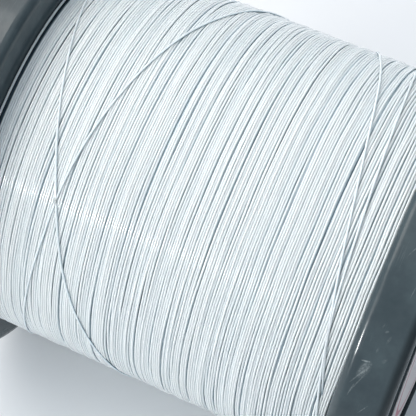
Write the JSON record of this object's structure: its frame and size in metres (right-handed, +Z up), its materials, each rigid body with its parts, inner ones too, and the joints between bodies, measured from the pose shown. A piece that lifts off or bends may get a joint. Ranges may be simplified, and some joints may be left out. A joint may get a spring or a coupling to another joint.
{
  "type": "fishing line spool",
  "caption": "Delivery spool of white fishing line, with two dark ribbed flanges closed by cover discs, a barrel, and a central bore for a spindle.",
  "frame": {"origin": "middle of the bore, half way between the flanges", "axes": "+X along the spool's axis towards the end with the label; +Z up with the spool lying on its two rims"},
  "size_m": [0.1, 0.1, 0.1],
  "materials": {
    "flange_plastic": "slate blue-grey moulded plastic, satin, with fine scuffs on the rims",
    "barrel_plastic": "slate blue-grey moulded plastic, matt",
    "line": "pearl-white monofilament, glossy",
    "paper": "matt uncoated paper with a printed border"
  },
  "bodies": {
    "root": {"flange_left": "flange_plastic", "flange_right": "flange_plastic", "barrel_tube": "barrel_plastic", "hub_tube": "barrel_plastic", "cover_left": "flange_plastic", "cover_right": "flange_plastic", "label_right": "paper", "line_core": "line", "line_top_turns": "line"}
  },
  "joints": []
}
